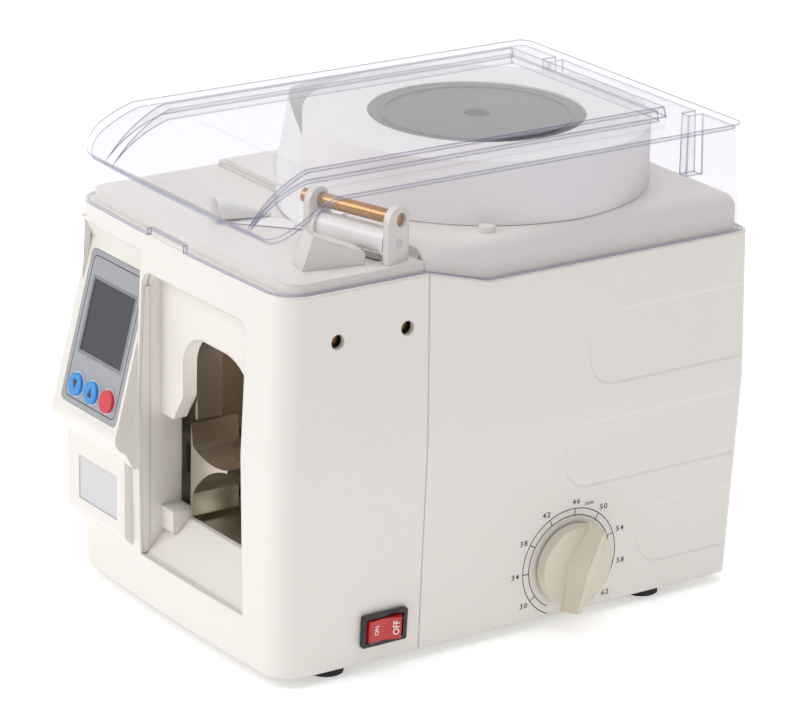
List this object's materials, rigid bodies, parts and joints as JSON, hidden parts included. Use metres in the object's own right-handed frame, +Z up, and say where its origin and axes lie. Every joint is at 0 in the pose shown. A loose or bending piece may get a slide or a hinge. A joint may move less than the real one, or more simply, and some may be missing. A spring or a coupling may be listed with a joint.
{
  "type": "banknote strapping machine",
  "caption": "Desk-top machine that straps bundles of banknotes with paper tape: two-part case with clear lid over a tape roll, note bay, display with buttons, rocker switch and position dial.",
  "frame": {"origin": "on the floor under the middle of the whole machine", "axes": "+Z up, -Y to the user at the display and note bay, +X to the side with the dial and switch"},
  "size_m": [0.1892, 0.2652, 0.2204],
  "materials": {
    "case_plastic": "moulded cream plastic",
    "lid_plastic": "clear moulded plastic",
    "bright_steel": "drawn steel",
    "tape_paper": "white paper tape",
    "dark_plastic": "dark grey plastic",
    "zinc_steel": "zinc plated steel",
    "white_plastic": "white acetal",
    "brass_pin": "turned brass",
    "overlay_film": "silver grey film",
    "lcd_glass": "grey green display",
    "blue_button": "blue",
    "red_button": "red",
    "board_green": "solder resist",
    "label_film": "pale film",
    "black_plastic": "black",
    "rocker_red": "red",
    "knob_cream": "moulded cream plastic",
    "zinc_sheet": "zinc plated sheet",
    "foot_rubber": "black rubber",
    "polished_steel": "polished",
    "dark_steel": "blackened",
    "alu_block": "milled",
    "stop_plate": "grey brown paint",
    "roller_rubber": "black rubber tyre"
  },
  "bodies": {
    "case": {"front_cover": "case_plastic", "body_shell": "case_plastic", "reel_spindle": "bright_steel", "spindle_nut": "zinc_steel", "guide_ear_right": "case_plastic", "guide_ear_left": "case_plastic", "guide_shaft": "bright_steel", "guide_pin": "brass_pin", "tape_fence": "case_plastic", "loose_strip": "tape_paper", "display_overlay": "overlay_film", "lcd_screen": "lcd_glass", "display_board": "board_green", "label_insert": "label_film", "switch_bezel": "black_plastic", "dial_bush": "white_plastic", "base_plate": "zinc_sheet", "rubber_feet": "foot_rubber", "case_screws": "zinc_steel", "frame_screws": "zinc_steel", "frame_left": "zinc_sheet", "frame_right": "zinc_sheet", "rod_tie_front": "zinc_sheet", "rod_tie_rear": "zinc_sheet", "cross_front": "zinc_sheet", "cross_rear": "zinc_sheet", "note_floor": "zinc_sheet", "tape_arch": "polished_steel", "wedge_guide": "polished_steel", "wedge_bracket": "zinc_sheet", "jaw_solenoid": "dark_steel", "heater_block": "alu_block", "cutter_solenoid": "dark_steel", "guide_rods": "bright_steel", "motor_bracket": "zinc_sheet", "feed_motor": "zinc_steel", "pivot_studs": "brass_pin", "transformer": "dark_steel", "control_board": "board_green", "power_inlet": "black_plastic"},
    "lid": {"clear_lid": "lid_plastic", "hinge_pins": "bright_steel"},
    "reel": {"paper_roll": "tape_paper", "roll_core": "dark_plastic"},
    "guide": {"guide_roller": "white_plastic"},
    "dial": {"dial_knob": "knob_cream", "dial_shaft": "bright_steel", "dial_pinion": "white_plastic"},
    "stop": {"note_stop": "stop_plate", "stop_rack": "white_plastic"},
    "rocker": {"switch_rocker": "rocker_red"},
    "key_down": {"down_button": "blue_button"},
    "key_up": {"up_button": "blue_button"},
    "key_clear": {"clear_button": "red_button"},
    "jaw": {"press_jaw": "dark_steel"},
    "feed": {"feed_roller": "roller_rubber", "feed_gear": "white_plastic"},
    "pinch": {"pinch_roller": "roller_rubber"},
    "motor_gear": {"motor_pinion": "brass_pin"},
    "cutter": {"cutter_blade": "bright_steel"}
  },
  "joints": [
    {"name": "lid_hinge", "type": "hinge", "parent": "case", "child": "lid", "pos_m": [-0.007, 0.12937, 0.1664], "axis": [-1, 0, 0], "range_deg": [0, 95]},
    {"name": "reel_spin", "type": "hinge", "parent": "case", "child": "reel", "pos_m": [-0.007, 0.03697, 0.2], "axis": [0, 0, 1], "continuous": true},
    {"name": "guide_spin", "type": "hinge", "parent": "case", "child": "guide", "pos_m": [0.0676, -0.05843, 0.1885], "axis": [0.9563, 0.2924, 0], "continuous": true},
    {"name": "dial_turn", "type": "hinge", "parent": "case", "child": "dial", "pos_m": [0.073, 0.03237, 0.029], "axis": [-1, 0, 0], "range_deg": [-150.47, 109.97]},
    {"name": "stop_slide", "type": "slide", "parent": "case", "child": "stop", "axis": [0, 1, 0], "range_m": [-0.0185, 0.0135]},
    {"name": "rocker_tilt", "type": "hinge", "parent": "case", "child": "rocker", "pos_m": [0.0765, -0.06653, 0.02029], "axis": [0.0576, 0, 0.9983], "range_deg": [0, 14]},
    {"name": "key_down_press", "type": "slide", "parent": "case", "child": "key_down", "axis": [0, 0.9692, -0.2463], "range_m": [0, 0.0009], "stiffness_N_per_m": 600},
    {"name": "key_up_press", "type": "slide", "parent": "case", "child": "key_up", "axis": [0, 0.9692, -0.2463], "range_m": [0, 0.0009], "stiffness_N_per_m": 600},
    {"name": "key_clear_press", "type": "slide", "parent": "case", "child": "key_clear", "axis": [0, 0.9692, -0.2463], "range_m": [0, 0.0009], "stiffness_N_per_m": 600},
    {"name": "jaw_slide", "type": "slide", "parent": "case", "child": "jaw", "axis": [-1, 0, 0], "range_m": [0, 0.006]},
    {"name": "feed_spin", "type": "hinge", "parent": "case", "child": "feed", "pos_m": [0.027, -0.07303, 0.024], "axis": [0, 1, 0], "continuous": true},
    {"name": "pinch_spin", "type": "hinge", "parent": "case", "child": "pinch", "pos_m": [0.0434, -0.07303, 0.024], "axis": [0, 1, 0], "continuous": true},
    {"name": "motor_spin", "type": "hinge", "parent": "case", "child": "motor_gear", "pos_m": [0.0095, -0.05803, 0.024], "axis": [0, 1, 0], "continuous": true},
    {"name": "cutter_slide", "type": "slide", "parent": "case", "child": "cutter", "axis": [0, 0, 1], "range_m": [0, 0.004]}
  ],
  "couplings": [
    {"joint": "dial_turn", "follows": "stop_slide", "rad_per_m": 141.39},
    {"joint": "pinch_spin", "follows": "feed_spin", "ratio": -1.2857},
    {"joint": "motor_spin", "follows": "feed_spin", "ratio": -2.5714}
  ]
}
